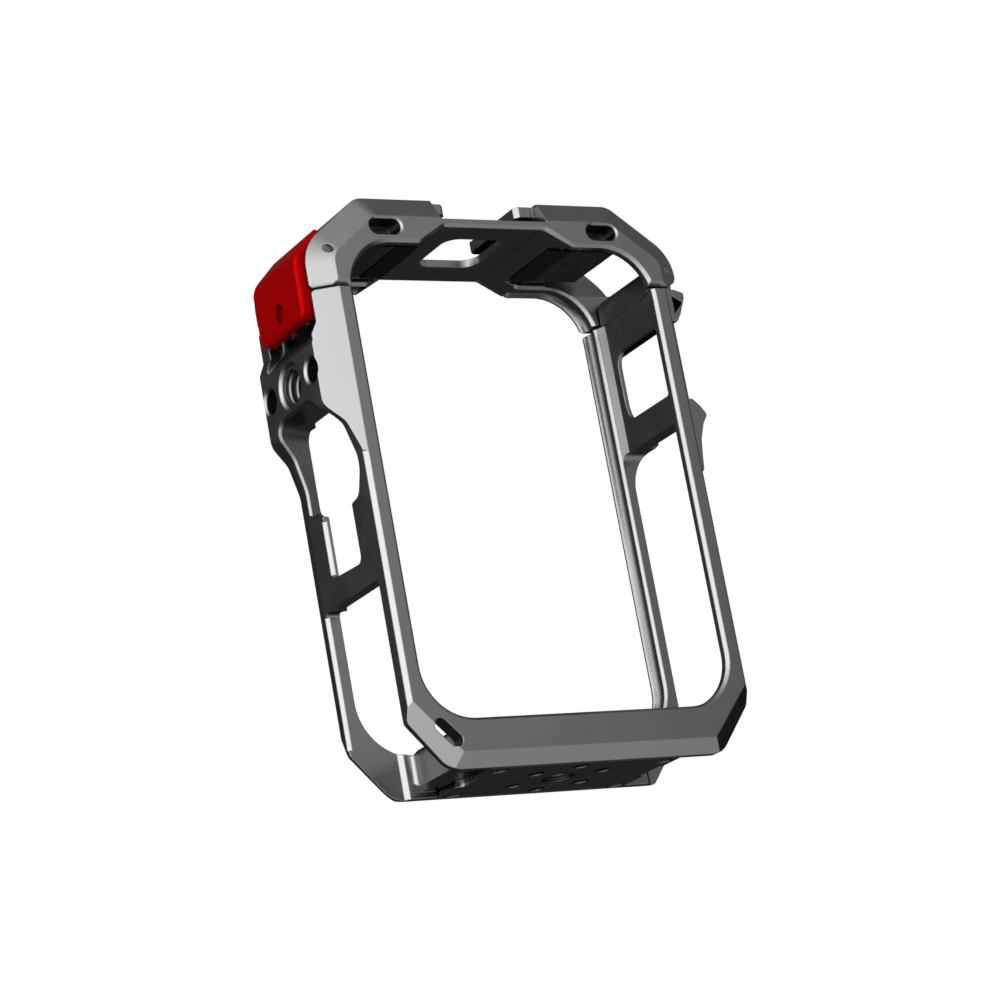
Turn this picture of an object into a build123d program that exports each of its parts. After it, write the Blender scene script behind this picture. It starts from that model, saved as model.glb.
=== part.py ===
from build123d import *
from math import cos, radians, sin
import os

# A small camera cage: a one-piece aluminium frame stands on its base, a lid closes it from above,
# a hinge pin holds the lid at the right and a red lever latches it at the left.
# X runs to the right, Y into the depth and Z up; the origin is the mouth of the base thread.
# All sizes are millimetres.

# ---- depth: places through the cage are distances from the front face ----
cage_depth = 22.0
front = -cage_depth / 2
rear = cage_depth / 2
rail_thickness = 2.7
arch_near = 2.6
arch_far = cage_depth - 4.3
pocket_far = cage_depth - 3.1

# ---- camera space ----
camera_half_width = 26.6
camera_floor = 7.2
camera_corner_radius = 8.0
lip_chamfer = 0.48
lip_thickness = 1.5
rear_lip_peak = cage_depth - 3.8
rear_lip_chamfer = 0.45
rear_groove_depth = 0.67
rear_curl_start = cage_depth - 2.3
rear_curl_radius = 2.37
rear_curl_turn = 45
rear_curl_steps = 8
rear_rim_chamfer = 0.3
rear_top_rounding = 1.2

# ---- frame outline ----
face_half_width = camera_half_width + 2.3
wall_half_width = camera_half_width + 2.9
face_foot = 2.2
face_corner_height = 10.0
face_corner_half = camera_half_width - 4.7
foot_corner_height = 7.2
foot_corner_half = camera_half_width - 3.0
foot_corner_radius = 4.0
wall_foot_radius = 1.5
side_bevel_depth = 0.64
foot_bevel_depth = 1.6
facet_depth = 2.2
facet_width = 3.9
pad_rear_bevel = 1.0
pad_rear_bevel_depth = 1.8
wall_rear_bevel = 0.3
frame_top_left = 73.6
frame_top_right = 74.3
shoulder_half_width = camera_half_width + 6.0
shoulder_foot = 68.7
pad_half_width = camera_half_width + 7.0
pad_top = 65.8
pad_foot = 56.0
neck_half_width = camera_half_width + 4.4
neck_height = 52.9
neck_foot = 48.0
neck_foot_radius = 5.0
neck_radius = 3.5
pad_foot_radius = 3.0
pad_top_radius = 1.5
shoulder_radius = 1.0

# ---- side walls ----
wall_recess_depth = 1.0
recess_ramp_start = cage_depth - 5.7
recess_foot = camera_floor
right_relief_half = camera_half_width + 1.85
right_relief_flare_height = 50.95
right_relief_flare_radius = 8.0
right_relief_flare_end = (camera_half_width + 6.9, 54.4)
right_ceiling = 52.9
right_ceiling_half = camera_half_width + 3.7
right_ceiling_rise = 1.1
right_ceiling_end = cage_depth - 7.6
right_window_far = cage_depth - 4.2
right_upper_foot = 57.6
right_upper_step = 60.0
right_upper_top = 68.9
right_upper_far = cage_depth - 7.2
right_upper_step_depth = 0.6
bulb_far = cage_depth - 2.0
bulb_wall_end = cage_depth - 4.8
bulb_wall_inner_half = camera_half_width + 0.64
bulb_wall_lean = (bulb_far - bulb_wall_end) / (pad_half_width - bulb_wall_inner_half)
bulb_near = 2.8
bulb_near_foot = 46.0
bulb_near_top = 54.4
bulb_top_near = 7.0
bulb_waist_near = 4.3
bulb_waist_height = 42.6
bulb_near_foot_radius = 4.0
bulb_near_top_radius = 4.5
bulb_corner_radius = 1.8
bulb_top = 57.9
bulb_foot = 44.4
bulb_top_radius = 2.4
bulb_chamfer = 0.4
narrow_near = 6.45
narrow_far = cage_depth - 6.45
narrow_foot = 33.2
narrow_top = 42.8
narrow_wall_inside = camera_half_width + 1.9
narrow_pocket_far = cage_depth - 3.4
lower_window_top = 29.0
lower_window_far = cage_depth - 2.4
lower_window_foot = 6.4
window_chamfer = 0.5
window_reach = camera_half_width - 4.6

# ---- lid ----
lid_gap = 0.35
lid_end_gap = 0.55
lid_top = 88.7
lid_half_width = camera_half_width + 6.1
lid_corner_height = 80.65
lid_corner_radius = 7.0
lid_top_half = camera_half_width - 4.1
lid_top_radius = 3.4
lid_face_corner_height = 78.85
lid_face_corner_radius = 3.0
lid_face_top = 85.1
lid_face_top_half = camera_half_width - 5.8
lid_face_top_radius = 2.0
lid_end_radius = 2.42
lid_end_corner = 0.8
lid_end_bevel = 0.75
lid_end_bevel_start = camera_half_width - 0.6
arch_lean_centre = camera_half_width - 7.85
arch_lean_foot = 79.9
arch_lean_radius = 8.1
arch_lean_width = 6.3
arch_lean_depth = 2.0
lip_top = 80.95
lip_shoulder_half = 13.6
bar_underside = 83.7
bar_half = 8.8
ceiling = 82.2
ceiling_half = camera_half_width - 2.6
skin_end_half = camera_half_width + 1.5
skin_end_height = 84.4

# ---- cold shoes: the standard foot is 18.6 wide and 2.0 thick under a 12.5 neck ----
shoe_width = 18.8
shoe_neck = 12.6
shoe_slot_height = 2.1
shoe_floor = 84.9
shoe_web_margin = 0.6
shoe_web_thickness = 1.4
shoe_rail_start = 3.4
shoe_nose_chamfer = 0.7
side_shoe_floor_half = camera_half_width + 1.7
side_shoe_centre = 62.6
side_shoe_rail_thickness = 1.9
side_shoe_arm = 1.6
side_shoe_tip_slope = 1.3
side_shoe_front = 0.3
side_shoe_flank_foot = 46.5
side_rail_half = camera_half_width + 3.45
side_rail_foot = 48.0
side_rail_top = 72.0
side_shoe_pocket = 2.4
side_shoe_arm_root = 3.6

# ---- hinge ----
hinge_x = camera_half_width + 3.8
hinge_z = 77.8
pin_radius = 0.75
pin_end_recess = 1.2
running_clearance = 0.03
side_clearance = 0.3
knuckle_radius = 1.7
washer_radius = 1.5

# ---- latch ----
latch_x = -camera_half_width - 2.7
latch_z = 79.86
lever_foot = 69.7
lever_top = 84.15
lever_proud = 0.6
lever_tip_reach = 0.15
lever_shoulder_slope = 1.01
lever_face_half = pad_half_width + lever_proud
lever_corner_height = lever_top - lever_shoulder_slope * (lever_face_half + latch_x - lever_tip_reach)
lever_thickness = 2.0
lever_edge_radius = 0.6
lever_bend_radius = 4.0
lever_foot_radius = 1.6
lever_dimple_radius = 1.4
lever_dimple_depth = 0.8
lever_dimple_height = 72.9
lever_dimple_place = 9.9
barrel_radius = 2.2
hook_height = 0.9
hook_tip_half = camera_half_width + 4.4
hook_half_length = 3.0

# ---- torsion spring on the latch pin ----
spring_wire = 0.4
spring_inner_radius = 0.95
spring_turns = 8
spring_leg = 3.0
spring_pocket_clearance = 0.25

# ---- catch ----
catch_thickness = 0.4
catch_half_length = 3.4
catch_foot = 70.5
catch_gap = 0.15
catch_screw_rise = 0.75
catch_screw_radius = 0.5
catch_screw_head_radius = 0.75
hook_rise = 2.2
catch_screw_height = catch_foot + catch_screw_rise
hook_top = catch_foot + hook_rise
finger_recess_half = camera_half_width + 3.7
finger_recess_back = 69.0
finger_recess_radius = 2.2
finger_recess_end_radius = 1.0

# ---- threads and locating holes ----
tripod_thread_radius = 3.175
tripod_core_radius = 2.55
thread_groove_depth = 0.35
thread_pitch = 1.27
insert_wall = 0.75
base_insert_radius = 4.1
insert_recess = 0.5
side_hole_height = 61.95
side_hole_depth_place = 0.4
side_hole_depth = 4.6
side_pin_hole_radius = 1.85
side_pin_hole_offset = 6.9
side_pin_hole_depth = 3.6
side_pin_hole_chamfer = 0.35

# ---- base ----
base_half_width = camera_half_width - 7.1
base_rim = 1.2
base_rim_chamfer = 0.7
base_end_fillet = 1.0
base_top = 6.2
claw_notch_height = 1.0
claw_notch_width = 2.3
claw_notch_chamfer = 0.7
claw_pocket_depth = 1.3
claw_pocket_near = cage_depth / 2 - 3.4
claw_pocket_far = cage_depth / 2 + 2.2
pocket_step_half = 21.0
corner_pocket_top = 11.0
base_plate_half = 16.5
base_plate_half_depth = cage_depth / 2 - 2.3
base_plate_thickness = 2.4
base_plate_dovetail = 0.6
base_pin_hole_radius = 1.3
base_pin_circle = 6.75
base_pin_hole_depth = 1.2
base_pin_hole_count = 6
base_screw_x = 14.3
base_screw_y = base_plate_half_depth - 1.7
base_screw_radius = 0.9
base_screw_head_radius = 1.4
base_screw_head_height = 0.7
base_screw_length = 4.2
socket_radius = 0.55
socket_depth = 0.4
base_pad_thickness = 0.8
base_pad_margin = 1.5
base_fit = 0.05

# ---- lid fittings ----
strip_inner_half = 11.6
strip_outer_half = 15.5
foam_inner_half = 15.7
foam_outer_half = camera_half_width - 2.8
lid_pad_front = 4.5
lid_pad_rear = cage_depth - 5.2
strip_thickness = 0.5
foam_thickness = 0.4
button_hole_left = 5.7
button_hole_right = 5.0
button_hole_front = 5.0
button_hole_rear = cage_depth - 5.8
button_hole_radius = 2.4
strap_slot_x = camera_half_width - 7.4
strap_slot_z = 83.5
strap_slot_length = 5.3
strap_slot_width = 2.4
strap_slot_depth = 3.6
strap_slot_chamfer = 0.3
corner_slot_x = 2.8 - camera_half_width
corner_slot_z = 5.2
corner_slot_length = 5.2
corner_slot_width = 2.0

BEYOND = 60.0


def depth(distance):
    """The Y place of a distance measured back from the front face."""
    return front + distance


def along_y(face, near, far):
    """A face drawn in X and Z, run through the depth from near to far, counted from the front."""
    return extrude(Plane.XZ.offset(-depth(near)) * face, amount=-(far - near))


def along_x(face, start, end):
    """A face drawn in Y and Z, run along X."""
    return extrude(Plane.YZ.offset(start) * face, amount=end - start)


def along_z(face, start, end):
    """A face drawn in X and Y, run along Z."""
    return extrude(Plane.XY.offset(start) * face, amount=end - start)


def rounded(points, radii):
    """A closed face with one radius for each corner."""
    return make_face(FilletPolyline(*points, radius=radii, close=True))


def polygon(points):
    return make_face(Polyline(*points, close=True))


def block(x, y, z):
    """A box between two ends on each axis."""
    centre = ((x[0] + x[1]) / 2, (y[0] + y[1]) / 2, (z[0] + z[1]) / 2)
    return Pos(*centre) * Box(x[1] - x[0], y[1] - y[0], z[1] - z[0])


def disc_y(x, z, radius, start, end):
    """A cylinder along Y between two Y places."""
    return Pos(x, (start + end) / 2, z) * Rot(90, 0, 0) * Cylinder(radius, end - start)


def disc_x(y, z, radius, start, end):
    return Pos((start + end) / 2, y, z) * Rot(0, 90, 0) * Cylinder(radius, end - start)


def disc_z(x, y, radius, start, end):
    return Pos(x, y, (start + end) / 2) * Cylinder(radius, end - start)


def both_faces(shape):
    """The shape and its mirror image at the other face of the cage."""
    return shape + mirror(shape, about=Plane.XZ)


def bevel_wedge(x, z, normal, width, bevel_depth, y):
    """What a bevel takes off the edge at y, on the side that the normal points to."""
    outward = Vector(normal[0], 0, normal[1]).normalized()
    plane = Plane(origin=(x, y, z), x_dir=outward, z_dir=outward.cross(Vector(0, 1, 0)))
    wedge = polygon([(-width / bevel_depth, -1), (BEYOND, -1), (BEYOND, BEYOND * bevel_depth / width)])
    return extrude(plane * wedge, amount=2 * BEYOND, both=True)


def edge_bevel(x, z, normal, width, bevel_depth):
    """The same bevel on the front and the rear edge of the cage."""
    return both_faces(bevel_wedge(x, z, normal, width, bevel_depth, front))


def camera_outline(reach):
    """The clear space for the camera, made smaller all round by reach."""
    half = camera_half_width - reach
    floor = camera_floor + reach
    top = lip_top - reach
    bar = bar_underside - reach
    shoulder = lip_shoulder_half + reach / 4
    bend = bar_half - reach / 2
    radius = camera_corner_radius - reach
    points = [(-half, floor), (half, floor), (half, top), (shoulder, top)]
    points += [(bend, bar), (-bend, bar), (-shoulder, top), (-half, top)]
    return rounded(points, [radius, radius, radius, 1.2, 1.0, 1.0, 1.2, radius])


def rear_lip_profile():
    """Places down the rear lip, as distance from the front and reach: a peak, a groove and a curled rim."""
    chamfer, groove = rear_lip_chamfer, rear_groove_depth
    places = [(lip_chamfer, 0), (rear_lip_peak, 0), (rear_lip_peak + groove, -groove)]
    for step in range(rear_curl_steps + 1):
        turn = radians(rear_curl_turn * step / rear_curl_steps)
        places.append((
            rear_curl_start + rear_curl_radius * sin(turn),
            rear_curl_radius * (1 - cos(turn)) - groove,
        ))
    rim = places[-1][1]
    places.append((cage_depth - rear_rim_chamfer, rim))
    places.append((cage_depth + chamfer, rim - rear_rim_chamfer - chamfer))
    return places


def camera_space():
    """The opening through the cage: a chamfered front edge, straight walls and a rear lip."""
    overshoot = 0.5
    places = [(-overshoot, -lip_chamfer - overshoot)] + rear_lip_profile()
    space = None
    for (near, near_reach), (far, far_reach) in zip(places, places[1:]):
        piece = loft([
            Plane.XZ.offset(-depth(near)) * camera_outline(near_reach),
            Plane.XZ.offset(-depth(far)) * camera_outline(far_reach),
        ], ruled=True)
        space = piece if space is None else space + piece
    return space


def wall_recess():
    """The walls are thinned between the front lip and a ramp that climbs to the rear lip."""
    chamfer_start = rear_lip_peak - rear_lip_chamfer
    recess = along_y(camera_outline(-wall_recess_depth), lip_thickness, recess_ramp_start)
    recess += loft([
        Plane.XZ.offset(-depth(recess_ramp_start)) * camera_outline(-wall_recess_depth),
        Plane.XZ.offset(-depth(chamfer_start)) * camera_outline(-rear_lip_chamfer),
    ], ruled=True)
    recess += loft([
        Plane.XZ.offset(-depth(chamfer_start)) * camera_outline(-rear_lip_chamfer),
        Plane.XZ.offset(-depth(rear_lip_peak)) * camera_outline(0),
    ], ruled=True)
    return recess & block((-BEYOND, BEYOND), (front, rear), (recess_foot, BEYOND * 2))


def frame_outline(pad_inset, wall_inset):
    """The frame seen from the front, with its left side drawn in at the pad and at the wall below it."""
    points = [
        (0, frame_top_right),
        (0, frame_top_left),
        (-shoulder_half_width + pad_inset, frame_top_left),
        (-shoulder_half_width + pad_inset, shoulder_foot),
        (-pad_half_width + pad_inset, shoulder_foot - 2.0),
        (-pad_half_width + pad_inset, pad_foot),
        (-neck_half_width + (pad_inset + wall_inset) / 2, neck_height),
        (-wall_half_width + wall_inset, neck_foot),
        (-wall_half_width + wall_inset, foot_corner_height),
        (-foot_corner_half, 0),
        (foot_corner_half, 0),
        (wall_half_width, foot_corner_height),
        (wall_half_width, frame_top_right),
    ]
    radii = [0, 0, 0.6, shoulder_radius, pad_top_radius, pad_foot_radius, neck_radius, neck_foot_radius]
    radii += [wall_foot_radius, foot_corner_radius, foot_corner_radius, wall_foot_radius, 0.3]
    return rounded(points, radii)


def frame_blank():
    """The outer body of the frame, before the camera space and the windows are cut."""
    bevel_start = cage_depth - pad_rear_bevel_depth
    body = along_y(frame_outline(0, 0), 0, bevel_start)
    body += loft([
        Plane.XZ.offset(-depth(bevel_start)) * frame_outline(0, 0),
        Plane.XZ.offset(-depth(cage_depth)) * frame_outline(pad_rear_bevel, wall_rear_bevel),
    ], ruled=True)
    corner_normal = (face_corner_height - face_foot, face_half_width - face_corner_half)
    for side in (-1, 1):
        body -= edge_bevel(
            side * face_half_width, face_corner_height, (side * corner_normal[0], -corner_normal[1]), 2.3,
            foot_bevel_depth,
        )
    body -= edge_bevel(0, face_foot, (0, -1), face_foot, foot_bevel_depth)
    side_width = wall_half_width - face_half_width
    body -= edge_bevel(face_half_width, 0, (1, 0), side_width, side_bevel_depth)
    body -= bevel_wedge(-face_half_width, 0, (-1, 0), facet_width, facet_depth, front)
    narrow = bevel_wedge(-face_half_width, 0, (-1, 0), side_width, side_bevel_depth, front)
    return body - (narrow & block((-BEYOND, 0), (-BEYOND, BEYOND), (-1, neck_foot)))


def side_shoe():
    """The two rails of the cold shoe on the right wall, and the wall between them at the front."""
    half = shoe_width / 2
    low_wall = side_shoe_centre - half
    high_wall = side_shoe_centre + half
    neck_low = side_shoe_centre - shoe_neck / 2
    neck_high = side_shoe_centre + shoe_neck / 2
    slot_top = side_shoe_floor_half + shoe_slot_height
    outside = slot_top + side_shoe_rail_thickness
    low = FilletPolyline(
        (camera_half_width + 1, side_shoe_flank_foot - 2.5),
        (wall_half_width + 0.1, side_shoe_flank_foot - 2.5),
        (wall_half_width + 0.35, side_shoe_flank_foot),
        (slot_top - 0.1, low_wall - side_shoe_arm_root),
        (outside - 1.05, low_wall - 1.1),
        (outside - 0.1, low_wall + 0.3),
        (outside - 1.0, low_wall + 1.7),
        (side_rail_half, neck_low - 0.2),
        (camera_half_width + 1, neck_low - 0.2),
        close=True,
        radius=[0, 1.0, 3.0, 3.0, 2.0, 0.5, 0.4, 0.2, 0],
    )
    high = FilletPolyline(
        (camera_half_width + 1, neck_high),
        (slot_top - 0.2, neck_high),
        (outside - 1.2, neck_high + side_shoe_tip_slope),
        (outside, high_wall + 0.9),
        (outside, high_wall + side_shoe_arm + 0.1),
        (outside - 1.6, high_wall + side_shoe_arm + 0.6),
        (camera_half_width + 1, high_wall + side_shoe_arm + 0.6),
        close=True,
        radius=[0, 0.2, 0.4, 0.4, 0.3, 0.2, 0],
    )
    near, far = side_shoe_front, cage_depth - side_shoe_front
    rails = along_y(make_face(low), near, far) + along_y(make_face(high), near, far)
    slope = side_rail_half - face_half_width
    front_wall = polygon([
        (camera_half_width + 1, front), (face_half_width, front), (side_rail_half, front + slope),
        (side_rail_half, depth(rail_thickness)), (camera_half_width + 1, depth(rail_thickness)),
    ])
    pocket = polygon([
        (side_rail_half, high_wall + 1.2), (outside - 0.4, high_wall + 0.1),
        (side_rail_half, high_wall - 1.8),
    ])
    rails -= along_y(pocket, -1, side_shoe_pocket + side_shoe_front)
    return rails + along_z(front_wall, side_rail_foot, side_rail_top)


def side_shoe_slot():
    """The slot of the side shoe, open to the rear and stopped by the front rail."""
    half = shoe_width / 2
    slot = block(
        (side_shoe_floor_half, side_shoe_floor_half + shoe_slot_height),
        (depth(rail_thickness), rear + 1),
        (side_shoe_centre - half, side_shoe_centre + half),
    )
    neck = block(
        (side_rail_half, BEYOND),
        (front - 1, rear + 1),
        (side_shoe_centre - shoe_neck / 2, side_shoe_centre + shoe_neck / 2),
    )
    rear_neck = block(
        (side_shoe_floor_half, BEYOND),
        (depth(rail_thickness), rear + 1),
        (side_shoe_centre - shoe_neck / 2, side_shoe_centre + shoe_neck / 2),
    )
    return slot + neck + rear_neck


def window(points, radii, start, end):
    """A window through a side wall; its outline is given as distance from the front and height."""
    places = [(depth(y), z) for y, z in points]
    return along_x(rounded(places, radii), start, end)


def mouth_chamfer(far, foot, top):
    """What the chamfer takes off the outer edge of a window's rear wall."""
    size = window_chamfer
    return along_z(polygon([
        (-wall_half_width + size, depth(far)), (-wall_half_width - 1, depth(far + size + 1)),
        (-wall_half_width - 1, depth(far - 1)), (-wall_half_width + size, depth(far - 1)),
    ]), foot, top)


def left_windows():
    """A bulb-shaped window, whose rear wall leans, over a narrow slot, and a tall window below."""
    outside, inside = -BEYOND, -window_reach
    bulb_points = [(bulb_top_near, bulb_top), (bulb_far, bulb_top), (bulb_far, bulb_foot)]
    bulb_points += [(narrow_far, narrow_top), (narrow_near, bulb_waist_height - 0.4)]
    bulb_points += [(bulb_waist_near, bulb_waist_height)]
    bulb_points += [(bulb_near, bulb_near_foot), (bulb_near, bulb_near_top)]
    bulb_radii = [bulb_corner_radius, bulb_top_radius, bulb_corner_radius, 0, 0.5, bulb_corner_radius - 0.2]
    bulb_radii += [bulb_near_foot_radius, bulb_near_top_radius]
    bulb = window(bulb_points, bulb_radii, outside, inside)
    bulb &= along_z(polygon([
        (-BEYOND, front - 1), (-BEYOND, depth(bulb_wall_end - (BEYOND - pad_half_width) * bulb_wall_lean)),
        (-bulb_wall_inner_half, depth(bulb_far)), (inside, depth(bulb_far)), (inside, front - 1),
    ]), narrow_foot, BEYOND)
    bulb -= leaning_corner()
    slot_points = [(narrow_near, narrow_top), (narrow_far, narrow_top), (narrow_far, narrow_foot)]
    slot_points += [(narrow_near, narrow_foot - 0.4)]
    slot = window(slot_points, [0, 0, 0.8, 1.2], outside, inside)
    slot += mouth_chamfer(narrow_far, narrow_foot + 0.6, narrow_top - 0.6)
    pocket_points = [(narrow_near, bulb_foot), (narrow_pocket_far, bulb_foot)]
    pocket_points += [(narrow_pocket_far, narrow_foot), (narrow_near, narrow_foot - 0.4)]
    slot += window(pocket_points, [0.5, 0.8, 0.8, 0.5], -narrow_wall_inside, inside)
    lower_points = [(rail_thickness, lower_window_top), (lower_window_far, lower_window_top)]
    lower_points += [(lower_window_far, lower_window_foot), (rail_thickness, lower_window_foot)]
    lower = window(lower_points, [0.8, 0.6, 1.0, 1.0], outside, inside)
    lower += mouth_chamfer(lower_window_far, foot_corner_height + 0.8, lower_window_top - 0.5)
    return bulb + slot + lower


def leaning_corner():
    """What rounds the corner between the bulb window's leaning wall and its ceiling."""
    radius = bulb_top_radius
    along = Vector(1, bulb_wall_lean, 0).normalized()
    into_wall = Vector(-bulb_wall_lean, 1, 0).normalized()
    plane = Plane(origin=(-pad_half_width, depth(bulb_wall_end), bulb_top), x_dir=into_wall, z_dir=along)
    corner = polygon([(-radius, -radius), (1, -radius), (1, 1), (-radius, 1)])
    corner -= Pos(-radius, -radius) * Circle(radius)
    return extrude(plane * corner, amount=bulb_far, both=True)


def bulb_mouth_chamfer(body):
    """Chamfers the edge where the leaning rear wall of the bulb window meets the outside of the pad."""
    mouth = body.edges().filter_by_position(Axis.X, -pad_half_width - 0.1, -wall_half_width + 0.1)
    mouth = mouth.filter_by_position(Axis.Y, depth(bulb_wall_end - 1), depth(bulb_far))
    mouth = mouth.filter_by_position(Axis.Z, bulb_foot, bulb_top - 0.1)
    return chamfer(mouth.filter_by(lambda edge: abs(edge.tangent_at(0.5).Z) > 0.3), bulb_chamfer)


def right_windows():
    inside, outside = window_reach, BEYOND
    upper_points = [
        (rail_thickness, right_upper_foot), (right_upper_far - right_upper_step_depth, right_upper_foot),
        (right_upper_far, right_upper_step), (right_upper_far, right_upper_top),
        (rail_thickness, right_upper_top),
    ]
    upper = window(upper_points, [0.8, 1.4, 1.5, 2.5, 0.8], inside, outside)
    lower_points = [(rail_thickness, right_ceiling), (right_window_far, right_ceiling)]
    lower_points += [(right_window_far, lower_window_foot), (rail_thickness, lower_window_foot)]
    lower = window(lower_points, [0.8, 1.2, 2.5, 1.0], inside, outside)
    return upper + lower


def corner_pocket(side):
    """The lower corners are open between the front and rear bands, from the wall to the base."""
    near, middle, far = depth(rail_thickness), depth(pocket_far), depth(lower_window_far)
    outline = rounded([
        (base_half_width, near), (BEYOND, near), (BEYOND, far), (pocket_step_half + far - middle, far),
        (pocket_step_half, middle), (base_half_width, middle),
    ], [base_end_fillet, 0, 0, 0, 0, base_end_fillet])
    pocket = along_z(outline, -1, corner_pocket_top)
    return pocket if side > 0 else mirror(pocket, about=Plane.YZ)


def claw_notch(side):
    """The notch beside the base plate, where a clamp's claw reaches in, with its sloped outer edge."""
    inner, outer = base_plate_half - 0.5, base_plate_half + claw_notch_width
    notch = along_y(polygon([
        (inner, -1), (inner, claw_notch_height), (outer, claw_notch_height),
        (outer + 3 * claw_notch_chamfer, claw_notch_height + 3 * claw_notch_chamfer), (BEYOND, -1),
    ]), rail_thickness, pocket_far)
    return notch if side > 0 else mirror(notch, about=Plane.YZ)


def finger_recess():
    """The scoop above the side pad, where a finger gets under the lever."""
    profile = rounded([
        (-BEYOND, pad_top - BEYOND + pad_half_width),
        (-pad_half_width, pad_top),
        (-finger_recess_half, finger_recess_back),
        (-finger_recess_half, BEYOND * 2),
        (-BEYOND, BEYOND * 2),
    ], [0, 0, finger_recess_radius, 0, 0])
    recess = along_y(profile, arch_near, arch_far)
    far_edges = recess.edges().filter_by_position(Axis.Y, depth(arch_far) - 0.01, depth(arch_far) + 0.01)
    scooped = far_edges.filter_by(lambda edge: -BEYOND + 1 < edge.center().X and edge.center().Z < BEYOND)
    return fillet(scooped, finger_recess_end_radius)


def right_wall_relief():
    """The right wall is cut back outside, behind the front rail, and flares out to the lower shoe rail."""
    shift = wall_half_width - right_relief_half
    flare_x, flare_z = right_relief_flare_end
    outline = rounded([
        (right_relief_half, right_relief_flare_height), (right_relief_half, foot_corner_height),
        (foot_corner_half - shift, 0), (foot_corner_half - shift, -1), (BEYOND, -1), (BEYOND, flare_z),
        (flare_x, flare_z),
    ], [right_relief_flare_radius, 0, 0, 0, 0, 0, 0])
    rise = along_y(polygon([
        (right_ceiling_half, right_ceiling - 1), (right_ceiling_half, right_ceiling),
        (right_ceiling_half + 2 * right_ceiling_rise, right_ceiling + right_ceiling_rise),
        (BEYOND, right_ceiling + right_ceiling_rise), (BEYOND, right_ceiling - 1),
    ]), rail_thickness, right_ceiling_end)
    return along_y(outline, rail_thickness, cage_depth + 1) + rise


def knuckle():
    """The hinge eye on top of the right wall, between the two arches of the lid."""
    near, far = depth(arch_near + side_clearance), depth(arch_far - side_clearance)
    start = camera_half_width + wall_recess_depth
    wall = block((start, hinge_x + knuckle_radius), (near, far), (frame_top_right - 1, hinge_z))
    return wall + disc_y(hinge_x, hinge_z, knuckle_radius, near, far)


def tripod_bore(length):
    """The stepped hole that takes a thread insert, drawn along +Z from its mouth at zero."""
    mouth = Pos(0, 0, 0.2) * Cone(tripod_thread_radius + 0.5, tripod_thread_radius + 0.1, 0.4)
    neck = disc_z(0, 0, tripod_thread_radius + 0.1, 0.3, insert_recess + 0.01)
    seat = disc_z(0, 0, tripod_core_radius + insert_wall, insert_recess, length)
    return mouth + neck + seat


def thread_insert(outer, start, end):
    """A thread insert: a sleeve with the thread's grooves turned in its bore."""
    sleeve = disc_z(0, 0, outer, start, end) - disc_z(0, 0, tripod_core_radius, start - 1, end + 1)
    for turn in range(int((end - start) / thread_pitch)):
        middle = start + thread_pitch * (turn + 0.5)
        groove = polygon([
            (tripod_core_radius - 0.2, middle - 0.5),
            (tripod_core_radius + thread_groove_depth, middle),
            (tripod_core_radius - 0.2, middle + 0.5),
        ])
        sleeve -= revolve(Plane.XZ * groove, Axis.Z)
    return sleeve


def at_side_hole(shape):
    """Turns a shape drawn along +Z so that it goes into the left pad."""
    return Pos(-pad_half_width, side_hole_depth_place, side_hole_height) * Rot(0, 90, 0) * shape


def pin_hole_mouth(place):
    """The chamfer round the mouth of a locating hole, run out past the pad's face."""
    size = side_pin_hole_chamfer
    mouth = Cone(side_pin_hole_radius + 2 * size, side_pin_hole_radius, 2 * size)
    return Pos(-pad_half_width, place, side_hole_height) * Rot(0, 90, 0) * mouth


def base_pin_places():
    return PolarLocations(base_pin_circle, base_pin_hole_count, 30)


def base_screw_places():
    return [(x, y) for x in (-base_screw_x, base_screw_x) for y in (-base_screw_y, base_screw_y)]


def main_frame():
    body = frame_blank() + side_shoe() + knuckle()
    body -= camera_space()
    body -= wall_recess()
    body -= rear_top_round()
    body -= left_windows()
    body = bulb_mouth_chamfer(body)
    body -= right_windows()
    body -= finger_recess()
    body -= side_shoe_slot()
    body -= right_wall_relief()
    body -= corner_pocket(-1) + corner_pocket(1)
    body -= claw_notch(-1) + claw_notch(1)
    body -= block(
        (-base_half_width + base_rim, base_half_width - base_rim),
        (depth(rail_thickness), -depth(rail_thickness)),
        (base_top, camera_floor + 1),
    )
    for side in (-1, 1):
        corner = (side * (base_half_width - base_rim_chamfer), camera_floor)
        rim = polygon([
            corner, (side * base_half_width, camera_floor - base_rim_chamfer),
            (side * (base_half_width + 1), camera_floor - base_rim_chamfer),
            (side * (base_half_width + 1), camera_floor + 1), (corner[0], camera_floor + 1),
        ])
        body -= along_y(rim, rail_thickness, pocket_far)
    plate_half = base_plate_half + base_fit
    plate_fit = base_plate_half_depth + base_fit
    body -= block((-plate_half, plate_half), (-plate_fit, plate_fit), (-1, base_plate_thickness))
    body -= disc_z(0, 0, base_insert_radius, -1, base_top + 1)
    body -= at_side_hole(tripod_bore(side_hole_depth))
    for offset in (-side_pin_hole_offset, side_pin_hole_offset):
        place = side_hole_depth_place + offset
        floor = side_pin_hole_depth - pad_half_width
        body -= disc_x(place, side_hole_height, side_pin_hole_radius, -BEYOND, floor)
        body -= pin_hole_mouth(place)
    for x, y in base_screw_places():
        body -= disc_z(x, y, base_screw_radius, 0, base_screw_length)
    bore = pin_radius + running_clearance
    body -= disc_y(hinge_x, hinge_z, bore, front, rear)
    body -= along_y(corner_slot_outline(), -1, rail_thickness + 1)
    for place in catch_screw_places():
        body -= disc_x(place, catch_screw_height, catch_screw_radius, -BEYOND, -finger_recess_half + 1.8)
    return body


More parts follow.
